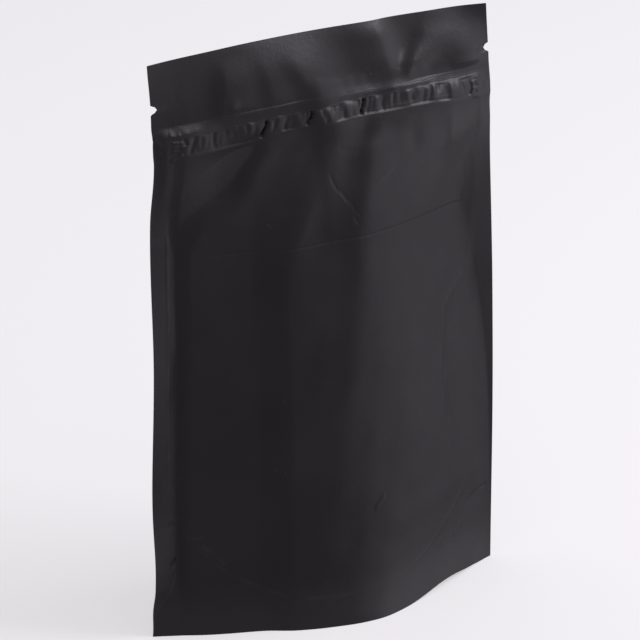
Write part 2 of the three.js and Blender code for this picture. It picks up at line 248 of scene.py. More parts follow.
def dome(s, z, place, reach, height):
    """A soft bump: a bell across times a bell upwards, with reaches to the left, right, down and up."""
    left, right, down, up = reach
    offset, rise = (s - place[0]) * HALF_WIDTH, z - place[1]
    return height * skew_bell(offset, left, right) * skew_bell(rise, down, up)


def header_folds(s, z):
    """Sum of the header's ridges and domes, which fades out downwards at the lower edge of the zip."""
    folds = sum(ridge(s, z, *fold) for fold in HEADER_FOLDS)
    domes = sum(dome(s, z, *bump) for bump in HEADER_DOMES)
    return (folds + domes) * ease(z, ZIP_BOTTOM - HEADER_FADE, ZIP_BOTTOM + HEADER_FADE)


print(f"{len(HEADER_FOLDS)} folds and {len(HEADER_DOMES)} domes in the header")

# %% [markdown]
# ## The sheet of the seals
#
# The sheet isn't flat. The top edge is turned a little against the base, the zip bows to the front, the
# middle of the header and its corners lean back, and the free edge of the left seal curls to the front.
# Depth grows towards the back, so what comes to the front is taken away.

# %% Seal sheet
TOP_TWIST = 5.2
ZIP_BOW, ZIP_BOW_SKEW = 2.4, 0.3
ZIP_BOW_FROM, ZIP_BOW_FULL = 90, 185
HEADER_BOW = 6.6
SPREAD_POWERS, SPREAD_RANGE = (2, 3.5), (-0.2, 0.4)
LEAN_POWERS = (1.0, 2.2)
LATE_PLACE, LATE_REACH = -0.25, 0.3
LATE_RIGHT, LATE_RIGHT_RANGE = 0.6, (0.5, 0.85)
LEFT_CORNER_BACK, LEFT_CORNER_RANGE, LEFT_CORNER_HEIGHT = 1.0, (0.6, 1), 203
RIGHT_CORNER_BACK, RIGHT_CORNER_RANGE, RIGHT_CORNER_POWER = 1.5, (0.6, 0.9), 1.2
SEAL_CURLS = ((98, 34, 1.6), (24, 22, 3.0), (100, 70, 1.3), (172, 14, 0.8), (145, 25, 0.3))
CURL_INSET, CURL_POWER, CURL_HEIGHTS = 0.04, 0.8, (6, 20)


def header_lean(s, up):
    """Bow · spread(s) · up^power: most in the middle of the top edge. A high power bends late."""
    spread = 1 - np.abs(s) ** mix(*SPREAD_POWERS, ease(s, *SPREAD_RANGE))
    late = bell(s - LATE_PLACE, LATE_REACH) + LATE_RIGHT * ease(s, *LATE_RIGHT_RANGE)
    return HEADER_BOW * spread * up ** mix(*LEAN_POWERS, late)


def corner_lean(s, z, up):
    """How far the top corners lean back: for each, a step across times a rise up the header."""
    left = LEFT_CORNER_BACK * ease(-s, *LEFT_CORNER_RANGE) * ease(z, LEFT_CORNER_HEIGHT, HEIGHT)
    return left + RIGHT_CORNER_BACK * ease(s, *RIGHT_CORNER_RANGE) * up**RIGHT_CORNER_POWER


def seal_curl(s, z):
    """How far the left seal curls to the front: bells up it times a power of the distance into it."""
    outer = np.clip((-s - SEAL_EDGE + CURL_INSET) / (1 + CURL_INSET - SEAL_EDGE), 0, 1)
    return bells_up(z, SEAL_CURLS) * outer**CURL_POWER * ease(z, *CURL_HEIGHTS)


def seal_sheet(s, z):
    """Depth of the sheet: turn - bow of the zip + lean of header and corners - folds - curled seal."""
    turn = TOP_TWIST * s * z / HEIGHT
    bow = ZIP_BOW * (1 - s * s) * (1 + ZIP_BOW_SKEW * s) * ease(z, ZIP_BOW_FROM, ZIP_BOW_FULL)
    up = np.clip((z - ZIP_TOP) / (HEIGHT - ZIP_TOP), 0, 1)
    return turn - bow + header_lean(s, up) + corner_lean(s, z, up) - header_folds(s, z) - seal_curl(s, z)


print(f"the middle of the top edge lies at y = {seal_sheet(0.0, HEIGHT):.1f} mm")

# %% [markdown]
# ## The belly
#
# Over the floor a panel is a tent: its bottom edge runs nearly straight from each corner to a rounded
# ridge near the middle. Further up the ridge gets rounder. On the left the film doesn't climb evenly to
# the ridge. It climbs in two steps with gentle slopes between: one where the belly starts, beside the
# seal below and slanting towards the zip above, and one along a long fold. On the right it runs out
# gently, because there the two panels touch over a wide strip. All these places, widths and shares
# change with the height, so each is a curve through a few (height, value) points. Just below the zip
# the film starts to swell a little lower on the left than on the right.

# %% Curves of the belly
BELLY_SHARE = (
    (0, 1.0), (8, 0.93), (15, 0.887), (25, 0.862), (50, 0.832), (75, 0.797), (100, 0.74), (130, 0.605),
    (148, 0.48), (160, 0.385), (170, 0.28), (178, 0.18), (183, 0.105), (187, 0.05), (190, 0.012),
    (192, 0.0),
)
RIDGE_PLACE = (
    (0, 0.05), (8, 0.01), (30, -0.05), (60, -0.05), (100, -0.02), (120, 0.01), (140, 0.03), (150, 0.06),
    (160, 0.07), (170, 0.11), (178, 0.14), (190, 0.2),
)
RIDGE_ROUNDING = ((0, 0.18), (20, 0.35), (50, 0.7), (80, 0.9))
START_PLACE = (
    (0, -0.83), (150, -0.83), (158, -0.81), (166, -0.69), (170, -0.59), (178, -0.48), (184, -0.42),
    (190, -0.37),
)
START_HALF = ((0, 0.035), (150, 0.04), (158, 0.08), (166, 0.11), (170, 0.1), (178, 0.06), (190, 0.05))
START_SHARE = (
    (0, 0.0), (44, 0.03), (100, 0.05), (120, 0.09), (150, 0.19), (160, 0.36), (170, 0.52), (190, 0.5),
)
STEP_PLACE = (
    (0, -0.4), (110, -0.4), (130, -0.41), (140, -0.39), (150, -0.36), (160, -0.32), (170, -0.26),
    (178, -0.2), (184, -0.12), (190, -0.07),
)
STEP_HALF = (
    (0, 0.08), (120, 0.08), (140, 0.09), (150, 0.12), (160, 0.16), (170, 0.18), (178, 0.17), (190, 0.1),
)
STEP_SHARE = (
    (0, 0.06), (12, 0.15), (44, 0.24), (100, 0.28), (130, 0.29), (150, 0.34), (170, 0.42), (190, 0.43),
)
RUN_OUT_SHARE = (
    (0, 0.2), (40, 0.5), (100, 0.7), (130, 0.85), (160, 1.0), (170, 0.9), (178, 0.5), (190, 0.3),
)
LEFT_EDGE = ((0, 1.0), (8, 0.98), (24, 0.87), (60, 0.86), (190, 0.87))
RIGHT_EDGE = (
    (0, 1.0), (44, 0.985), (80, 0.96), (130, 0.87), (150, 0.83), (165, 0.86), (178, 0.9), (190, 0.9),
)
print(f"the belly is {BELLY * curve(100.0, BELLY_SHARE):.1f} mm deep on each side at 100 mm")

# %% Belly of a panel
FILM_LIFT = ((-1, -3.0), (-0.4, -2.5), (-0.1, -1.0), (0.1, 0.5), (0.6, 0.8), (1, 0.0))
FILM_LIFT_FROM = 150
RUN_OUT_POWER = 2.4
SKIRT_FLARE, FLARE_POWER, FLARE_ENDS = 1.6, 1.5, (1, 0.7)


def tent(u, rounding):
    """A roof with a rounded ridge: 1 at u = 0, falling along a hyperbola to 0 at u = 1."""
    top = np.hypot(1, rounding)
    return (top - np.hypot(u, rounding)) / (top - rounding)


def run_out(u):
    """A slope that is level at both ends: the square of 1 - u^power."""
    return (1 - u**RUN_OUT_POWER) ** 2


def step_up(s, z, place, half):
    """Smooth step from 0 to 1 across a curve, as wide as a second curve says."""
    middle, reach = curve(z, place), curve(z, half)
    return ease(s, middle - reach, middle + reach)


def swell(s, z):
    """How far a panel stands off the seal sheet: depth(z) · form(s, z) + flare of the skirt."""
    film_height = z - curve(s, FILM_LIFT) * ease(z, FILM_LIFT_FROM, ZIP_BOTTOM)
    depth = BELLY * curve(film_height, BELLY_SHARE)
    top, rounding = curve(z, RIDGE_PLACE), curve(z, RIDGE_ROUNDING)
    start_share, step_share = curve(z, START_SHARE), curve(z, STEP_SHARE)
    to_left = np.clip((top - s) / (top + curve(z, LEFT_EDGE)), 0, 1)
    left = (1 - start_share - step_share) * tent(to_left, rounding)
    left = left + start_share * step_up(s, z, START_PLACE, START_HALF)
    left = left + step_share * step_up(s, z, STEP_PLACE, STEP_HALF)
    to_right = np.clip((s - top) / (curve(z, RIGHT_EDGE) - top), 0, 1)
    right = mix(tent(to_right, rounding), run_out(to_right), curve(z, RUN_OUT_SHARE))
    flare = SKIRT_FLARE * np.clip(1 - z / SKIRT, 0, 1) ** FLARE_POWER * ease(np.abs(s), *FLARE_ENDS)
    return depth * np.where(s < top, left, right) + flare


print(f"belly {swell(0.0, 0.0):.1f} mm at the floor, {swell(0.0, 100.0):.1f} mm at 100 mm")

# %% [markdown]
# ## Long folds of the front panel
#
# Three folds hang from kinks in the zip and run down to the left. They are valleys whose right flanks
# climb steeply and face away from the light, so they show as dark bands. Two softer ridges run down
# from the right half of the zip and beside the left seal. The free film is a little uneven as well.

# %% Long folds
FRONT_FOLDS = (
    (((100, 0.0), (120, 0.03), (140, 0.08), (150, 0.1), (160, 0.12), (170, 0.17), (178, 0.2),
      (188, 0.25)), 1.1, 7.0, 11.0, 25.0, 0.5),
    (((14, -0.81), (60, -0.81), (112, -0.81)), 1.3, 3.0, 17.0, 16.0, 1.0),
)
HANGING_FOLDS = (
    (((160, -0.74), (164, -0.67), (170, -0.58), (178, -0.53), (184, -0.47), (188, -0.44)),
     -2.0, 14.0, 5.0, 6.0, 0.6),
    (((158, -0.34), (164, -0.3), (170, -0.26), (178, -0.18), (184, -0.11), (188, -0.09)),
     -1.0, 34.0, 5.5, 8.0, 0.5),
    (((158, 0.03), (164, 0.06), (170, 0.09), (178, 0.115), (184, 0.17), (188, 0.19)),
     -0.9, 10.0, 4.0, 8.0, 0.4),
)
FRONT_DENTS = (((0.47, 181), (3.5, 3.5, 6, 6), -0.5), ((0.72, 183), (2, 2, 7, 7), 0.4))
FRONT_WAVES = ((0.2, 36, 3), (0.045, 12, 4))
OPEN_INSET = 0.01
FRONT_OPEN_FADE = 14


def film_waves(s, z, waves):
    """Sum of unevenness, each given as a size, a length and a seed."""
    return sum(size * unevenness(s * HALF_WIDTH, z, length, seed) for size, length, seed in waves)


def open_film(s, z, fade):
    """1 on the free film between the side seals and below the zip, 0 on the seals and above."""
    below = ease(z, ZIP_BOTTOM, ZIP_BOTTOM - fade)
    return ease(np.abs(s), SEAL_EDGE + OPEN_INSET, SEAL_EDGE - SEAL_FADE) * below


def long_folds(s, z):
    """Ridges + dents + waves on the free film, + the valleys that hang from the zip."""
    ridges = sum(ridge(s, z, *fold) for fold in FRONT_FOLDS)
    dents = sum(dome(s, z, *dent) for dent in FRONT_DENTS)
    hanging = sum(ridge(s, z, *fold) for fold in HANGING_FOLDS)
    return (ridges + dents + film_waves(s, z, FRONT_WAVES)) * open_film(s, z, FRONT_OPEN_FADE) + hanging


print(f"{len(FRONT_FOLDS) + len(HANGING_FOLDS)} long folds on the front")

# %% [markdown]
# ## Creases of the front panel
#
# Thin creases are lines pressed into the film: a level one where the pouch was once folded, the gusset's
# fold line showing through, and short crinkles. Each is a line of a few (s, height) points with a height
# and a width, and a bell goes across it. The curved seal of the gusset shows through as a low ridge.
# The crinkles and the curved seal also give a painted highlight, from 0 to 1, that the film's material
# reads further down: a pale colour along them that stands in for the light the creases catch.

# %% Creases
LEVEL_CREASES = (
    (((-0.84, 148.6), (-0.3, 148.2), (0.3, 148.8), (0.93, 148.4)), -0.18, 0.4),
    (((-0.97, 44), (-0.6, 44.1), (-0.3, 43.8)), -0.26, 0.6),
)
CRINKLES = (
    (((-0.86, 44.6), (-0.82, 44.2), (-0.76, 44.6)), -0.35, 0.9),
    (((-0.86, 43.4), (-0.835, 40.8), (-0.82, 39.2), (-0.78, 38.6), (-0.74, 38.9)), 0.3, 0.7),
    (((-0.76, 36.2), (-0.738, 34.2), (-0.69, 30.5), (-0.63, 26.5)), 0.22, 0.8),
    (((-0.9, 27.5), (-0.87, 29.5), (-0.84, 30)), -0.3, 0.8),
    (((-0.05, 174), (-0.035, 170), (-0.01, 166.5), (0.01, 165.5), (0.035, 162.5), (0.065, 160.5),
      (0.075, 158), (0.11, 156)), -0.28, 0.34),
    (((0.065, 157), (0.07, 155), (0.09, 153)), -0.25, 0.34),
    (((0.01, 181.5), (0.05, 179.8), (0.08, 179.5), (0.15, 178)), -0.07, 0.45),
    (((0.21, 167), (0.26, 168), (0.3, 170.3), (0.33, 171)), 0.16, 0.4),
    (((0.69, 60), (0.65, 68), (0.635, 90), (0.64, 110), (0.7, 115), (0.78, 120), (0.86, 124)), 0.34, 0.8),
    (((0.7, 16), (0.76, 21)), 0.35, 0.6),
    (((0.57, 14), (0.61, 17)), 0.3, 0.6),
    (((0.12, 42), (0.19, 47)), 0.3, 0.6),
    (((0.8, 27), (0.89, 30), (0.97, 31)), -0.25, 0.7),
    (((-0.82, 176), (-0.835, 172), (-0.855, 170)), -0.2, 0.5),
    (((-0.905, 52), (-0.91, 100), (-0.905, 150), (-0.9, 163), (-0.885, 166.5), (-0.84, 168)), 0.16, 0.5),
    (((-0.93, 134), (-0.87, 134.6)), -0.4, 0.9),
    (((-0.93, 60), (-0.86, 60.5), (-0.83, 63)), -0.4, 0.9),
)
CREASE_FADE = 0.12


def crease(s, z, points, height, width):
    """A pressed line: a bell across a line of points, which fades out at both ends."""
    gap, place = line_distance(s, z, points)
    return height * bell(gap, width) * ease(place, 0, CREASE_FADE) * ease(place, 1, 1 - CREASE_FADE)


print(f"{len(LEVEL_CREASES)} level creases and {len(CRINKLES)} crinkles on the front")

# %% Line of the curved seal, and all that the front adds
SKIRT_REACH, SKIRT_POWER = 0.87, 2.93
SEAL_LINE_PROUD, SEAL_LINE_WIDTH, SEAL_LINE_ENDS = 0.24, 0.8, (0.85, 0.75)
FAINT_SHARE, FAINT_PLACE, FAINT_RANGE = 0.6, -0.1, (0.3, 0.6)


def skirt_seal(s):
    """Height of the curved seal: level in the middle, rising nearly as |s|³ to the gusset's fold."""
    return SKIRT + (GUSSET - SKIRT) * np.clip(np.abs(s) / SKIRT_REACH, 0, 1) ** SKIRT_POWER


def seal_line(s, z, width):
    """A low ridge of this width along the curved seal, which fades out before the side seals."""
    return SEAL_LINE_PROUD * bell(z - skirt_seal(s), width) * ease(np.abs(s), *SEAL_LINE_ENDS)


def front_folds(s, z):
    """All that is added to the front panel's swell: long folds + creases + line of the curved seal."""
    creases = sum(crease(s, z, *line) for line in LEVEL_CREASES + CRINKLES)
    faint = mix(FAINT_SHARE, 1, ease(np.abs(s - FAINT_PLACE), *FAINT_RANGE))
    return long_folds(s, z) + creases + seal_line(s, z, SEAL_LINE_WIDTH) * faint


print(f"the curved seal rises from {skirt_seal(0.0):.0f} mm to {skirt_seal(SKIRT_REACH):.0f} mm")

# %% Painted highlight along the creases
HIGHLIGHT_WIDTH = 0.6
CRINKLE_HIGHLIGHT, SEAL_HIGHLIGHT, SEAL_HIGHLIGHT_ENDS = 0.6, 0.5, (0.87, 0.7)
PATCH_LENGTH, PATCH_SEED = 11, 5
PATCH_MEAN, PATCH_SPREAD = 0.45, 0.5


def painted_crease_highlight(s, z):
    """Painted highlight from 0 to 1: bells across the crinkles and across the curved seal, times patches.
    """
    lines = sum(crease(s, z, line[0], CRINKLE_HIGHLIGHT, HIGHLIGHT_WIDTH) for line in CRINKLES)
    seal = SEAL_HIGHLIGHT * bell(z - skirt_seal(s), HIGHLIGHT_WIDTH) * ease(np.abs(s), *SEAL_HIGHLIGHT_ENDS)
    waves = unevenness(s * HALF_WIDTH, z, PATCH_LENGTH, PATCH_SEED)
    patches = np.clip(PATCH_MEAN + PATCH_SPREAD * waves, 0, 1)
    return np.clip((lines + seal) * patches, 0, 1)


print(f"painted highlight on the curved seal's middle: {float(painted_crease_highlight(0.0, SKIRT)):.2f}")

# %% [markdown]
# ## The section of the zip
#
# The closed zip is welded in between the panels and shows only as relief under the film. Three lines
# run along it: the lip below, the bead's upper edge, and the top of the ribbed flange. Its section is
# drawn against t, which is 0 on the lip, 1 on the bead's upper edge and 2 on the top line, so one drawing
# fits wherever the lines run. There are two drawings. The left one is a low bead, and the right one
# stands further out, with a long slope below the lip. A curve says which share each has along the zip.

# %% Lines and section of the zip
TOP_LINE = (
    (-1, 197.8), (-0.7, 198.1), (-0.52, 198.8), (-0.26, 199.2), (0, 199.8), (0.3, 199.7), (1, 199.7),
)
BEAD_LINE = (
    (-1, 194.4), (-0.7, 194.6), (-0.52, 195.2), (-0.26, 195.6), (-0.09, 196.1), (0.09, 197.1), (1, 197.1),
)
LIP_LINE = (
    (-1, 186.3), (-0.9, 186.4), (-0.78, 187.9), (-0.52, 187.9), (-0.38, 188.4), (-0.26, 189.6),
    (0, 190.7), (0.6, 191.0), (0.72, 190.2), (0.85, 189.8), (1, 189.8),
)
LINE_WAVES, LIP_WAVE_LENGTH, BEAD_WAVE_LENGTH = 0.2, 26, 7
BEAD_HEIGHT = 6.6
LEFT_SECTION = (
    (-6, 0), (-4, 0.4), (-2, 1.05), (-1, 1.35), (-0.4, 1.45), (-0.14, 1.55), (-0.05, 1.6), (0, 1.58),
    (0.08, 1.35), (0.15, 1.4), (0.4, 1.5), (0.65, 1.35), (0.85, 1.08), (0.96, 0.82), (1.03, 0.62),
    (1.1, 0.6), (1.75, 0.55), (2, 0.4), (2.2, 0), (2.4, 0),
)
RIGHT_SECTION = (
    (-7, 0), (-5, 0.4), (-3, 1.25), (-2, 1.82), (-1, 2.5), (-0.6, 2.85), (-0.35, 3.15), (-0.2, 3.38),
    (-0.1, 3.5), (-0.04, 3.5), (0.02, 3.38), (0.08, 3.21), (0.13, 3.12), (0.19, 3.1), (0.35, 2.86),
    (0.5, 2.6), (0.65, 2.29), (0.8, 1.93), (0.93, 1.54), (1.03, 1.28), (1.1, 1.24), (1.4, 1.15),
    (1.75, 1.0), (2, 0.84), (2.3, 0.66), (2.8, 0.38), (4, 0),
)
SECTION_SHARE = (
    (-1, 0.75), (-0.7, 0.6), (-0.5, 0.1), (-0.2, 0), (-0.12, 0.15), (-0.05, 0.85), (0.02, 1), (1, 1),
)
SECTION_SIZE = ((-1, 0.4), (-0.8, 0.55), (-0.6, 0.9), (-0.5, 1), (0.86, 1), (1, 0.7))


def zip_lines(s, z, seed):
    """Heights of the lip, the bead's upper edge and the top line: curves, the first two slightly wavy."""
    x = s * HALF_WIDTH
    lip = curve(s, LIP_LINE) + LINE_WAVES * unevenness(x, 0 * z, LIP_WAVE_LENGTH, seed)
    bead = curve(s, BEAD_LINE) + LINE_WAVES * unevenness(x, 0 * z, BEAD_WAVE_LENGTH, seed + 4)
    return lip, bead, curve(s, TOP_LINE)


def section_height(z, lip, bead, top):
    """The height t on the drawn section: straight between the lines, in bead heights below the lip."""
    below = (z - lip) / np.where(z < lip, BEAD_HEIGHT, bead - lip)
    return np.where(z < bead, below, 1 + (z - bead) / (top - bead))


def zip_section(s, t):
    """Blend of the left and the right drawing, made smaller towards the ends of the zip."""
    drawn = mix(curve(t, LEFT_SECTION), curve(t, RIGHT_SECTION), curve(s, SECTION_SHARE))
    return drawn * curve(s, SECTION_SIZE)


print(f"bead {zip_section(-0.3, 0.4):.1f} mm proud on the left, {zip_section(0.3, 0.4):.1f} on the right")

# %% [markdown]
# ## Gathers and kinks
#
# The film over the bead is gathered into small pillows. A row of equal waves would look like a comb, so
# each gather is a short valley with its own random place, lean, bow, depth and width. Three deeper kinks
# are where the zip itself is bent.

# %% Gathers and kinks
GATHER_PITCH = 2.6
GATHER_MIDDLE, GATHER_REACH = (-1.5, 2.5), (1.8, 4.5)
GATHER_LEAN, GATHER_BOW = (-0.2, 0.35), (-0.09, 0.12)
GATHER_DEPTH = (0.05, 0.45)
GATHER_LEFT, GATHER_RIGHT = (0.7, 1.8), (0.5, 0.9)
KINKS = (-0.372, -0.112, 0.19)
KINK_DEPTH, KINK_LEFT, KINK_RIGHT = 1.4, 0.75, 0.5
KINK_LEAN, KINK_BEND = 0.22, 0.45
PILLOW_PROUD, PILLOW_LENGTH, PILLOW_STRETCH = 0.16, 9, 0.6


def gathers(x, up, seed):
    """Sum of short valleys, one in each pitch, each a skew bell across a leaning, bowed line."""
    draw = np.random.default_rng(seed)
    total = 0
    for start in np.arange(-HALF_WIDTH, HALF_WIDTH, GATHER_PITCH):
        place = start + draw.uniform(0, GATHER_PITCH)
        rise = up - draw.uniform(*GATHER_MIDDLE)
        lean, bow = draw.uniform(*GATHER_LEAN), draw.uniform(*GATHER_BOW)
        reach, depth = draw.uniform(*GATHER_REACH), draw.uniform(*GATHER_DEPTH)
        left, right = draw.uniform(*GATHER_LEFT), draw.uniform(*GATHER_RIGHT)
        offset = x - place - lean * rise - bow * rise**2
        total = total + depth * skew_bell(offset, left, right) * bell(rise, reach)
    return total


def pillows(s, z, lip, bead, seed):
    """What the bead's film adds to the section: swellings - gathers - kinks."""
    x = s * HALF_WIDTH
    up = z - (lip + bead) / 2
    bent = x - KINK_LEAN * up - KINK_BEND * np.sin(up)
    kinks = sum(KINK_DEPTH * skew_bell(bent - kink * HALF_WIDTH, KINK_LEFT, KINK_RIGHT) for kink in KINKS)
    swellings = PILLOW_PROUD * unevenness(x, PILLOW_STRETCH * z, PILLOW_LENGTH, seed + 2)
    return swellings - gathers(x, up, seed + 1) - kinks


print(f"zip with about {2 * HALF_WIDTH / GATHER_PITCH:.0f} gathers and {len(KINKS)} kinks")

# %% [markdown]
# ## Ends of the zip
#
# At both ends the side seals crush the zip flat. Towards the ends the whole strip rolls to the front a
# little, and a stamped patch with a few bars and bends holds the two halves together.

# %% Ends of the zip
END_ROLLS = ((-0.6, -0.84, 2.35, 1.2, 1.8), (0.2, 0.75, 2.0, 0.1, 1.1))
ROLL_FOOT = (-6, -1)
ROLL_RIGHT_END, ROLL_LEFT_END, ROLL_LEFT_SHARE = (1.02, 0.92), (-1, -0.93), 0.4
END_CREASES = (
    (((-0.91, 193.3), (-0.845, 192.8)), 0.3, 0.45),
    (((-0.905, 191.8), (-0.85, 191.4)), 0.3, 0.45),
    (((-0.91, 190.4), (-0.86, 190.0)), 0.26, 0.45),
    (((-0.915, 186.6), (-0.88, 187.9), (-0.845, 188.7)), 0.45, 0.5),
    (((-0.92, 196.4), (-0.885, 195.4), (-0.85, 195.8)), 0.25, 1.0),
    (((-0.842, 194.2), (-0.83, 192.8), (-0.832, 191.6)), -0.5, 0.8),
    (((-1.0, 195.4), (-0.975, 193.6), (-0.96, 191.6)), 0.4, 1.0),
    (((-1.0, 189.6), (-0.96, 190.2)), 0.35, 0.7),
    (((0.86, 194.2), (0.885, 194.9), (0.9, 194.4)), 0.2, 0.5),
    (((0.855, 190.6), (0.87, 192.4), (0.895, 192.2), (0.905, 190.4)), 0.22, 0.5),
    (((0.865, 189.2), (0.885, 190.0), (0.91, 188.8)), 0.2, 0.5),
    (((0.84, 190.2), (0.852, 192.2), (0.865, 194.2)), -0.35, 0.6),
    (((0.955, 192.6), (0.985, 193.4), (1.0, 193.2)), -0.2, 0.5),
)
CRUSHED = 0.6
RIGHT_SEAL_SOFT = 0.07
FLAT_BELOW = (-4.5, 0)


def in_seal(s):
    """1 in the sealed strips at both sides, 0 on the open film. The change is softer on the right."""
    soft = RIGHT_SEAL_SOFT * (s > 0)
    return ease(np.abs(s), SEAL_EDGE - SEAL_FADE - 2 * soft, SEAL_EDGE + soft)


def end_rolls(s, t, flat):
    """Sum of rolls: size times a step across, from start to full, times a step down the section."""
    rolls = 0
    for start, full, high, low, size in END_ROLLS:
        rolls = rolls + size * ease(t, high, low) * ease(t, *ROLL_FOOT) * ease(s, start, full)
    return rolls * flat * ease(s, *ROLL_RIGHT_END) * mix(ROLL_LEFT_SHARE, 1, ease(s, *ROLL_LEFT_END))


print(f"{len(END_CREASES)} stamped marks at the ends of the zip")

# %% [markdown]
# ## The zip under the film
#
# The relief of the zip is the sum of these parts, plus fine ribs on the flange and a thin pressed line
# above its right end. Below the zip the film hangs in short upright puckers.

# %% Relief of the zip
RIB_PITCH, RIB_PROUD = 0.72, 0.022
BEAD_FOOT, BEAD_HEAD = (0, 0.15), (1, 0.85)
FLANGE_FOOT, FLANGE_HEAD = (1.05, 1.2), (2, 1.85)
PRESSED_LINE, PRESSED_LINE_ABOVE, PRESSED_LINE_WIDTH = 0.15, 0.4, 0.35
PRESSED_LINE_LEFT, PRESSED_LINE_RIGHT = (0.45, 0.6), (0.86, 0.8)
PUCKER_PROUD, PUCKER_LENGTH, PUCKER_STRETCH, PUCKER_REACH = 0.06, 14, 0.15, 8
PUCKER_LEFT, PUCKER_RIGHT_FADE, PUCKER_HEAD = (-0.2, 0.3), 0.08, (0.5, -1.5)


def zip_relief(s, z, seed):
    """Crushed · (section + ribs + pillows on the bead - pressed line) + rolls + stamped marks."""
    lip, bead, top = zip_lines(s, z, seed)
    t = section_height(z, lip, bead, top)
    on_bead = ease(t, *BEAD_FOOT) * ease(t, *BEAD_HEAD)
    on_flange = ease(t, *FLANGE_FOOT) * ease(t, *FLANGE_HEAD)
    ribs = RIB_PROUD * np.cos(2 * math.pi * (z - bead) / RIB_PITCH) * on_flange
    pressed = PRESSED_LINE * bell(z - top - PRESSED_LINE_ABOVE, PRESSED_LINE_WIDTH)
    pressed = pressed * ease(s, *PRESSED_LINE_LEFT) * ease(s, *PRESSED_LINE_RIGHT)
    flat = mix(1, ease(t, *FLAT_BELOW), in_seal(s))
    crush = mix(1, CRUSHED, in_seal(s)) * flat
    relief = zip_section(s, t) + ribs + pillows(s, z, lip, bead, seed) * on_bead - pressed
    stamped = sum(crease(s, z, *line) for line in END_CREASES)
    return crush * relief + end_rolls(s, t, flat) + stamped


def zip_puckers(s, z, seed):
    """Waves along the zip that fade downwards as exp(-distance / reach), on the right half only."""
    below = np.exp(-np.clip(ZIP_BOTTOM - z, 0, None) / PUCKER_REACH)
    below = below * ease(z, ZIP_BOTTOM + PUCKER_HEAD[0], ZIP_BOTTOM + PUCKER_HEAD[1])
    where = ease(s, *PUCKER_LEFT) * ease(s, SEAL_EDGE, SEAL_EDGE - PUCKER_RIGHT_FADE)
    waves = unevenness(s * HALF_WIDTH, PUCKER_STRETCH * z, PUCKER_LENGTH, seed)
    return PUCKER_PROUD * waves * below * where


print(f"relief of the flange with ribs every {RIB_PITCH} mm")

# %% [markdown]
# ## Front and back
#
# Each panel is the seal sheet plus or minus its own offset. The offset never falls below a thin share of
# a ply, so front and back can't cross where a crease is pressed into a sealed strip. In the middle each
# film bulges over the zip on its own side. At the sealed ends both films follow the front's relief
# together, so that the sealed edge stays thin. The back isn't seen in any picture of this pouch, so it
# gets folds of the same kind in other places.

# %% Offsets of front and back
BACK_FOLDS = (
    (((60, 0.3), (100, 0.34), (140, 0.27), (188, 0.1)), 1.7, 16.0, 6.0),
    (((120, -0.2), (150, -0.28), (188, -0.42)), 1.5, 14.0, 5.0),
)
BACK_CREASES = (
    (((-0.93, 148.4), (0.1, 148.7), (0.86, 148.3)), -0.2, 0.7),
    (((-0.97, 44), (0.97, 44)), -0.14, 0.9),
    (((0.4, 120), (0.46, 112), (0.44, 103)), -0.4, 1.1),
)
BACK_WAVES = ((0.3, 38, 13),)
BACK_OPEN_FADE = 8
BACK_SEAL_LINE_WIDTH = 1.2
FRONT_SEED, BACK_SEED = 21, 31
SHARED_FROM, SHARED_FULL = 0.45, 0.86


def shared(s):
    """Share of the zip's relief that both films follow: 0 in the middle, 1 at the sealed ends."""
    return ease(np.abs(s), SHARED_FROM, SHARED_FULL)


def own_relief(s, z, seed):
    """What one film shows of the zip by itself: the rest of the relief + the puckers below it."""
    return zip_relief(s, z, seed) * (1 - shared(s)) + zip_puckers(s, z, seed + 4)


def back_folds(s, z):
    """The same sum as on the front, with the back's own folds, creases and waves."""
    free = open_film(s, z, BACK_OPEN_FADE)
    folds = sum(ridge(s, z, *fold) for fold in BACK_FOLDS) * free
    creases = sum(crease(s, z, *line) for line in BACK_CREASES)
    waves = film_waves(s, z, BACK_WAVES) * free
    return folds + creases + seal_line(s, z, BACK_SEAL_LINE_WIDTH) + waves


def front_offset(s, z):
    """Ply + swell + folds + zip, and never thinner than a share of a ply."""
    return np.maximum(PLY + swell(s, z) + front_folds(s, z) + own_relief(s, z, FRONT_SEED), THINNEST)


def back_offset(s, z):
    """The same sum for the back, whose swell is the front's, turned left to right."""
    return np.maximum(PLY + swell(-s, z) + back_folds(s, z) + own_relief(s, z, BACK_SEED), THINNEST)


print(f"{front_offset(0.0, 100.0) + back_offset(0.0, 100.0):.1f} mm thick in the middle at 100 mm")

# %% Panels
LIFT, LIFT_PLACE, LIFT_REACH, LIFT_HEIGHT = 2.8, 0.62, 0.2, 36


def skirt_lift(s, z):
    """The front's bottom edge arches off the floor near its right corner: a bell that fades upwards."""
    return LIFT * bell(s - LIFT_PLACE, LIFT_REACH) * np.clip(1 - z / LIFT_HEIGHT, 0, 1) ** 2


def panel(s, z, side):
    """Points of a panel: across, seal sheet ± offset, height. Side is -1 in front, 1 at the back."""
    offset = front_offset(s, z) if side < 0 else back_offset(s, z)
    raised = z + skirt_lift(s, z) * (side < 0) + TOP_ARCH * (1 - s * s) * ease(z, ZIP_TOP, HEIGHT)
    sheet = seal_sheet(s, z) - zip_relief(s, z, FRONT_SEED) * shared(s)
    return np.stack(np.broadcast_arrays(across(s, z), sheet + side * offset, raised), axis=-1)


print(f"the front skirt's lowest edge is lifted by up to {skirt_lift(LIFT_PLACE, 0.0):.1f} mm")

# %% [markdown]
# ## Grids
#
# Rows lie close together at the zip and at the tear notches and wider on plain film. The back has half
# as many rows and columns as the front, so that most of the triangles go where the folds are. Along
# the rims one cell of the back then meets two cells of the front in a five-sided face.

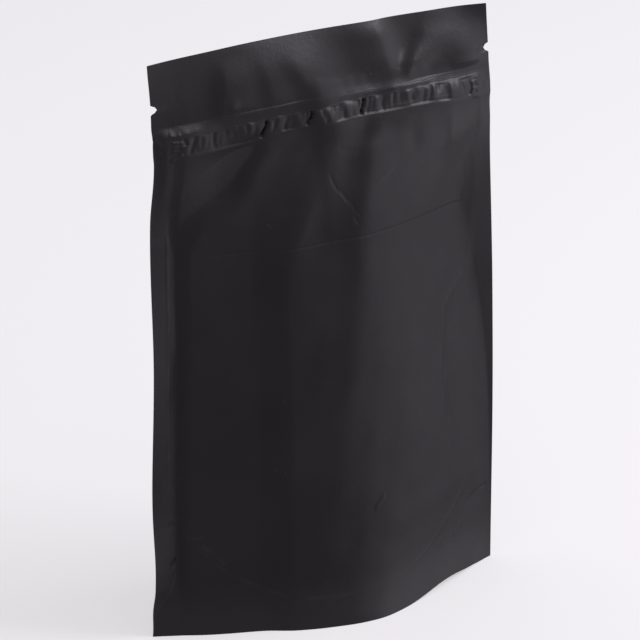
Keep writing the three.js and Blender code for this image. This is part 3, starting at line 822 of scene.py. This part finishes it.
# %% Rows and columns
COLUMNS = 288
ROW_SPANS = (
    (0, 50, 62), (50, 147, 40), (147, 150, 12), (150, 176, 38), (176, 186, 14), (186, 195.4, 32),
    (195.4, 201, 30), (201, 203.8, 4), (203.8, 207.8, 16), (207.8, HEIGHT, 14),
)
spans = [np.linspace(low, high, count, endpoint=False) for low, high, count in ROW_SPANS]
rows = np.concatenate([*spans, [HEIGHT]])
places = np.linspace(-1, 1, COLUMNS + 1)
front = panel(places[None, :], rows[:, None], -1)
back = panel(places[None, ::2], rows[::2, None], 1)
print(f"front grid {front.shape[:2]}, back grid {back.shape[:2]}")

# %% [markdown]
# ## The hollow under the gusset
#
# From below, the gusset is a tent of film between the two skirts, with a crease along its middle. The
# hollow is a profile carried along the pouch: up the inside of the back skirt, over the crease, and
# down the inside of the front skirt. It runs out to a point at both ends, where the films are welded.

# %% Profile of the hollow
HOLLOW_END = 5
FOLD_RISE = 7.0
WALL_STEPS, CEILING_STEPS = 6, 8
CLOSING_REACH, CLOSING_POWER = 0.1, 0.7
TIP_INSET = 0.003
hollow_places = places[::2][HOLLOW_END + 1 : -HOLLOW_END - 1]
hollow_end_place = places[::2][-HOLLOW_END - 1]


def hollow(s):
    """Profiles of the hollow for all places s, from the back rim over the crease to the front rim."""
    closing = np.clip((hollow_end_place - np.abs(s)) / CLOSING_REACH, 0, 1) ** CLOSING_POWER
    top = skirt_seal(s) * closing
    climb = np.linspace(0, 1, WALL_STEPS, endpoint=False)
    descent = np.linspace(1, 0, WALL_STEPS + 1)[1:]
    wall = np.concatenate([climb, np.ones(CEILING_STEPS + 1), descent])
    ceiling = np.linspace(0, 1, CEILING_STEPS + 1)
    over = np.concatenate([np.zeros(WALL_STEPS), ceiling, np.ones(WALL_STEPS)])
    z = top[None, :] * wall[:, None]
    inner_back = seal_sheet(s, z) + back_offset(s, z) - 2 * PLY
    inner_front = seal_sheet(s, z) - front_offset(s, z) + 2 * PLY
    rise = FOLD_RISE * (1 - np.abs(s)) * closing * (1 - np.abs(2 * over[:, None] - 1))
    raised = z + rise + skirt_lift(s, z) * over[:, None]
    return np.stack([across(s, z), mix(inner_back, inner_front, over[:, None]), raised], axis=-1)


under = hollow(hollow_places)
both_ends = np.array([-1, 1])
tips = panel(both_ends * (hollow_end_place - TIP_INSET), np.zeros(2), -1)
tips[:, 1] = seal_sheet(both_ends * hollow_end_place, 0.0)
print(f"hollow of {under.shape[1]} profiles with {under.shape[0]} points each")

# %% [markdown]
# ## One closed skin
#
# All points go into one list, and every patch of faces is worked out from arrays of point numbers.
# The order of a face's corners says which way it looks, so each patch is written to look outwards.

# %% Points and kinds of patches
front_id = np.arange(front[..., 0].size).reshape(front.shape[:2])
back_id = front_id.size + np.arange(back[..., 0].size).reshape(back.shape[:2])
under_id = front_id.size + back_id.size + np.arange(under[..., 0].size).reshape(under.shape[:2])
tip_id = front_id.size + back_id.size + under_id.size + np.arange(2)
points = np.concatenate([part.reshape(-1, 3) for part in (front, back, under, tips)])


def cells(ids):
    """Four-sided faces between neighbouring rows and columns of an array of point numbers."""
    return np.stack([ids[:-1, :-1], ids[:-1, 1:], ids[1:, 1:], ids[1:, :-1]], axis=-1).reshape(-1, 4)


def rim(fine, coarse):
    """Five-sided faces between a fine rim and a coarse one with half as many cells."""
    return np.stack([fine[:-2:2], fine[1:-1:2], fine[2::2], coarse[1:], coarse[:-1]], axis=-1)


def flipped(faces):
    """The same faces, looking the other way."""
    return faces[:, ::-1]


def tip_fan(tip, profile):
    """Triangles from a tip of the hollow to the profile beside it."""
    return np.stack([np.full(len(profile) - 1, tip), profile[:-1], profile[1:]], axis=-1)


print(f"{len(points)} points")

# %% Stitch the faces
first = HOLLOW_END
last = back_id.shape[1] - 1 - HOLLOW_END
floor_front, floor_back = front_id[0], back_id[0]
back_lip = np.concatenate([tip_id[:1], under_id[0], tip_id[1:]])
front_lip = np.concatenate([tip_id[:1], under_id[-1], tip_id[1:]])
left_front = floor_front[2 * first - 2 : 2 * first + 1]
left_corner = np.array([[*left_front, tip_id[0], *floor_back[first : first - 2 : -1]]])
right_front = floor_front[2 * last : 2 * last + 3]
right_corner = np.array([[*right_front, *floor_back[last + 1 : last - 1 : -1], tip_id[1]]])
patches = (
    cells(front_id),
    flipped(cells(back_id)),
    rim(front_id[-1], back_id[-1]),
    rim(front_id[:, 0], back_id[:, 0]),
    flipped(rim(front_id[:, -1], back_id[:, -1])),
    flipped(rim(floor_front[: 2 * first - 1], floor_back[:first])),
    flipped(rim(floor_front[2 * last + 2 :], floor_back[last + 1 :])),
    flipped(left_corner),
    flipped(right_corner),
    flipped(rim(floor_front[2 * first : 2 * last + 1], front_lip)),
    flipped(cells(np.stack([back_lip, floor_back[first : last + 1]]))),
    cells(under_id),
    tip_fan(tip_id[0], under_id[:, 0]),
    flipped(tip_fan(tip_id[1], under_id[:, -1])),
)
faces = [face for patch in patches for face in patch.tolist()]
print(f"{len(faces)} faces, which are {sum(len(face) - 2 for face in faces)} triangles")

# %% [markdown]
# ## From arrays to a Blender object
#
# The points are moved so that the skin stands on the floor with the middle of its box over the origin, as
# the imported part does. The painted highlight along the creases goes into the mesh as a value at each
# point. The calls at the end say that the skin moves with the part's only body and takes the place of the
# imported solid.

# %% The skin
middle = (points.min(axis=0) + points.max(axis=0)) / 2
shift = np.array([middle[0], middle[1], points[:, 2].min()])
mesh = bpy.data.meshes.new("pouch_skin")
mesh.from_pydata((points - shift) * MM, [], faces)
mesh.update()
# Painted highlight: a pale colour along the crinkles and the curved seal that stands in for the light the
# creases catch.
crease_highlight_paint = np.zeros(len(points))
crease_highlight_paint[: front_id.size] = painted_crease_highlight(places[None, :], rows[:, None]).ravel()
mesh.attributes.new("crease_highlight_paint", "FLOAT", "POINT").data.foreach_set("value", crease_highlight_paint)
pouch = bpy.data.objects.new("pouch_skin", mesh)
bpy.context.scene.collection.objects.link(pouch)
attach(pouch, "root")
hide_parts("pouch")
print(f"skin moved by {np.round(shift, 2)} mm")

# %% [markdown]
# ## Smooth film and sharp rims
#
# Film is smooth, so its faces are shaded smooth. The cut edges are the only hard ones: every edge where
# two faces meet at more than a set angle is marked sharp, and the shading breaks there.

# %% Shading
SHARP = math.radians(55)
mesh.shade_smooth()
mesh.set_sharp_from_angle(angle=SHARP)
print(f"edges over {math.degrees(SHARP):.0f} degrees are sharp")

# %% [markdown]
# ## Shader maths as Python
#
# A material is a graph of nodes. Written out node by node it is hard to read, so one small class wraps
# a socket: plus, minus and times on it add Math nodes, and one method adds any other node.


# %% A socket that can be reckoned with
class Shade:
    """A node tree and one of its output sockets."""

    def __init__(self, tree, socket=None):
        self.tree = tree
        self.socket = socket

    def node(self, kind, settings=None, sockets=None, output=0):
        """Adds a node: its settings first, then values or links of its sockets. Returns one output."""
        made = self.tree.nodes.new(kind)
        for name, setting in (settings or {}).items():
            setattr(made, name, setting)
        for key, given in (sockets or {}).items():
            if isinstance(given, Shade):
                self.tree.links.new(given.socket, made.inputs[key])
            else:
                made.inputs[key].default_value = given
        return Shade(self.tree, made.outputs[output] if made.outputs else None)

    def math(self, operation, a, b):
        """A Math node on two sockets or numbers."""
        return self.node("ShaderNodeMath", {"operation": operation}, {0: a, 1: b})

    def __add__(self, other):
        return self.math("ADD", self, other)

    def __sub__(self, other):
        return self.math("SUBTRACT", self, other)

    def __rsub__(self, other):
        return self.math("SUBTRACT", other, self)

    def __mul__(self, other):
        return self.math("MULTIPLY", self, other)

    __radd__ = __add__
    __rmul__ = __mul__

    def step(self, start, stop, low=0.0, high=1.0):
        """Smooth step from low at start to high at stop."""
        settings = {"interpolation_type": "SMOOTHSTEP"}
        sockets = {"Value": self, "From Min": start, "From Max": stop, "To Min": low, "To Max": high}
        return self.node("ShaderNodeMapRange", settings, sockets)

    def blend(self, low, high):
        """Colour mix: low where this socket is 0, high where it is 1."""
        sockets = {"Factor": self, 6: low, 7: high}
        return self.node("ShaderNodeMix", {"data_type": "RGBA"}, sockets, output=2)


print("shader helper ready")

# %% [markdown]
# ## Matt black film
#
# The film is a laminate with a matt lacquer: nearly black, with a broad soft sheen that shows every fold.
# Its colour is dark but not pure black, a touch warm and violet. The lacquer has a fine grain, cloudy
# patches that are a little more or less matt, and a few pale dust specks. Creases get a painted
# highlight: a pale colour along them, read from the value in the mesh, that stands in for the light they
# catch. Where the film was pressed hot it is glossier: up to the zip, mostly on the right half, and along
# the welded skirt. That gloss is a thin coat over the lacquer.

# %% Finishes of the film
DARK = (0.0135, 0.0122, 0.0140, 1)
PALE = (0.0195, 0.0178, 0.0200, 1)
DUST = (0.10, 0.10, 0.10, 1)
# Pale colour of the painted highlight along the creases.
HIGHLIGHT_PAINT = (0.040, 0.038, 0.041, 1)
FILM_IOR = 1.45
ROUGHNESS = 0.38
PRESSED_POLISH, BLOTCH_ROUGHNESS, CLOUD_ROUGHNESS = 0.1, 0.1, 0.06
PRESSED_FROM, PRESSED_FULL = 146, 192
PRESSED_COAT, COAT_ROUGHNESS = 0.32, 0.38
DULL_TO, GLOSS_FROM, DULL_SHARE = -22, 14, 0.3
WELD_FULL, WELD_FROM = 3, 22
# Each noise has a scale and a number of finer layers.
CLOUDS, BLOTCHES, PEEL, GRAIN = (28, 3), (110, 2), (520, 2), (2600, 1)
SPECKS, SPECK_PATCHES = (900, 1), (60, 1)
CLOUD_RANGE, SPECK_RANGE, SPECK_PATCH_RANGE = (0.3, 0.7), (0.79, 0.81), (0.5, 0.65)
NOISE_MIDDLE = 0.5
GRAIN_STRENGTH, GRAIN_DEPTH = 0.12, 0.2
PEEL_STRENGTH, PEEL_DEPTH = 0.08, 0.6
print(f"film gets glossier from {PRESSED_FROM} mm up to {PRESSED_FULL} mm")


# %% Film material
def film_material():
    """Principled shader: clouded colour and roughness, a painted highlight along the creases, dust, a
    coat, and two grains as bump.
    """
    material = bpy.data.materials.new("matt_black_film")
    material.use_nodes = True
    tree = material.node_tree
    tree.nodes.clear()
    start = Shade(tree)
    place = start.node("ShaderNodeTexCoord", output="Object")

    def noise(scale, detail):
        """Noise over the piece's own coordinates, from 0 to 1."""
        sockets = {"Vector": place, "Scale": scale, "Detail": detail}
        return start.node("ShaderNodeTexNoise", sockets=sockets)

    clouds = noise(*CLOUDS)
    specks = noise(*SPECKS).step(*SPECK_RANGE) * noise(*SPECK_PATCHES).step(*SPECK_PATCH_RANGE)
    # Painted highlight along the creases: a pale colour is mixed in where the creases would catch light.
    highlight_mask = start.node("ShaderNodeAttribute", {"attribute_name": "crease_highlight_paint"}, output="Fac")
    lacquer = clouds.step(*CLOUD_RANGE).blend(DARK, PALE)
    colour = specks.blend(highlight_mask.blend(lacquer, HIGHLIGHT_PAINT), DUST)

    height = start.node("ShaderNodeSeparateXYZ", sockets={"Vector": place}, output="Z")
    side = start.node("ShaderNodeSeparateXYZ", sockets={"Vector": place}, output="X")
    glossy_side = side.step(DULL_TO * MM, GLOSS_FROM * MM, DULL_SHARE, 1.0)
    pressed = height.step(PRESSED_FROM * MM, PRESSED_FULL * MM) * glossy_side
    weld = height.step(WELD_FULL * MM, WELD_FROM * MM, 1.0, 0.0)
    blotchy = BLOTCH_ROUGHNESS * (noise(*BLOTCHES) - NOISE_MIDDLE)
    cloudy = CLOUD_ROUGHNESS * (clouds - NOISE_MIDDLE)
    roughness = ROUGHNESS - PRESSED_POLISH * pressed + blotchy + cloudy

    fine = {"Strength": GRAIN_STRENGTH, "Distance": GRAIN_DEPTH * MM, "Height": noise(*GRAIN)}
    coarse = {"Strength": PEEL_STRENGTH, "Distance": PEEL_DEPTH * MM, "Height": noise(*PEEL)}
    grained = start.node("ShaderNodeBump", sockets=fine)
    bumps = start.node("ShaderNodeBump", sockets={**coarse, "Normal": grained})
    shader = start.node("ShaderNodeBsdfPrincipled", sockets={
        "Base Color": colour, "Roughness": roughness, "Normal": bumps, "IOR": FILM_IOR,
        "Coat Weight": PRESSED_COAT * (pressed + weld), "Coat Roughness": COAT_ROUGHNESS})
    start.node("ShaderNodeOutputMaterial", sockets={"Surface": shader})
    return material


mesh.materials.append(film_material())
print("film material on the skin")

# %% [markdown]
# ## Floor, light and camera
#
# The floor is plain and pale. It glows a little and is kept out of reflections and of scattered light,
# so that it throws no light up on the black film. A large soft key light stands on the right, with a
# smaller one above it, and the surround is dim. The left side of the pouch turns away from both lights
# and stays dark. A long lens far away keeps upright lines nearly parallel.

# %% Floor
FLOOR_HALF = 3.0
FLOOR_INPUTS = {
    "Base Color": (0.86, 0.86, 0.86, 1),
    "Roughness": 0.9,
    "Specular IOR Level": 0.1,
    "Emission Color": (1, 1, 1, 1),
    "Emission Strength": 0.5,
}
floor_mesh = bpy.data.meshes.new("floor")
floor_corners = [(FLOOR_HALF * x, FLOOR_HALF * y, 0) for x, y in ((-1, -1), (1, -1), (1, 1), (-1, 1))]
floor_mesh.from_pydata(floor_corners, [], [(0, 1, 2, 3)])
floor = bpy.data.objects.new("floor", floor_mesh)
bpy.context.scene.collection.objects.link(floor)
floor_material = bpy.data.materials.new("pale_floor")
floor_material.use_nodes = True
for name, given in FLOOR_INPUTS.items():
    floor_material.node_tree.nodes["Principled BSDF"].inputs[name].default_value = given
floor_mesh.materials.append(floor_material)
floor.visible_glossy = False
floor.visible_diffuse = False
floor.visible_shadow = False
print("pale floor laid")

# %% Lights
scene = bpy.context.scene
TARGET = Vector((0, 0, HEIGHT * MM / 2))
LIGHT_TINT = (1.0, 0.94, 1.03)
SURROUND = 0.3


def direction(azimuth, elevation):
    """Unit vector from the pouch: azimuth 0 is straight in front, 90 is on the right."""
    a, e = math.radians(azimuth), math.radians(elevation)
    return Vector((math.sin(a) * math.cos(e), -math.cos(a) * math.cos(e), math.sin(e)))


def area_light(name, azimuth, elevation, distance, width, height, watts):
    """A rectangular soft light that faces the middle of the pouch."""
    light = bpy.data.lights.new(name, "AREA")
    light.shape = "RECTANGLE"
    light.size = width
    light.size_y = height
    light.energy = watts
    light.color = LIGHT_TINT
    lamp = bpy.data.objects.new(name, light)
    lamp.location = TARGET + direction(azimuth, elevation) * distance
    lamp.rotation_euler = (TARGET - lamp.location).to_track_quat("-Z", "Y").to_euler()
    scene.collection.objects.link(lamp)


area_light("key", azimuth=60, elevation=6, distance=1.6, width=1.3, height=2.1, watts=4.6)
area_light("upper_key", azimuth=60, elevation=40, distance=1.6, width=0.9, height=0.8, watts=6.5)
world = bpy.data.worlds.new("studio")
world.use_nodes = True
background = world.node_tree.nodes["Background"]
background.inputs["Color"].default_value = (*LIGHT_TINT, 1)
background.inputs["Strength"].default_value = SURROUND
scene.world = world
scene.view_settings.view_transform = "Standard"
print("key, upper key and dim surround")

# %% Camera
CAMERA_AZIMUTH, CAMERA_ELEVATION = -29.2, 21.0
CAMERA_DISTANCE = 1300
LOOK_AT = np.array([0.7, 6.2, 110.0])
IMAGE_SIZE = 640
FOCAL_PIXELS = 3500
SENSOR = 36
camera_data = bpy.data.cameras.new("camera")
camera_data.sensor_width = SENSOR
camera_data.lens = SENSOR * FOCAL_PIXELS / IMAGE_SIZE
camera = bpy.data.objects.new("camera", camera_data)
aim = Vector((LOOK_AT - shift) * MM)
camera.location = aim + direction(CAMERA_AZIMUTH, CAMERA_ELEVATION) * CAMERA_DISTANCE * MM
camera.rotation_euler = (aim - camera.location).to_track_quat("-Z", "Y").to_euler()
scene.collection.objects.link(camera)
scene.camera = camera
print(f"camera with a {camera_data.lens:.0f} mm lens")
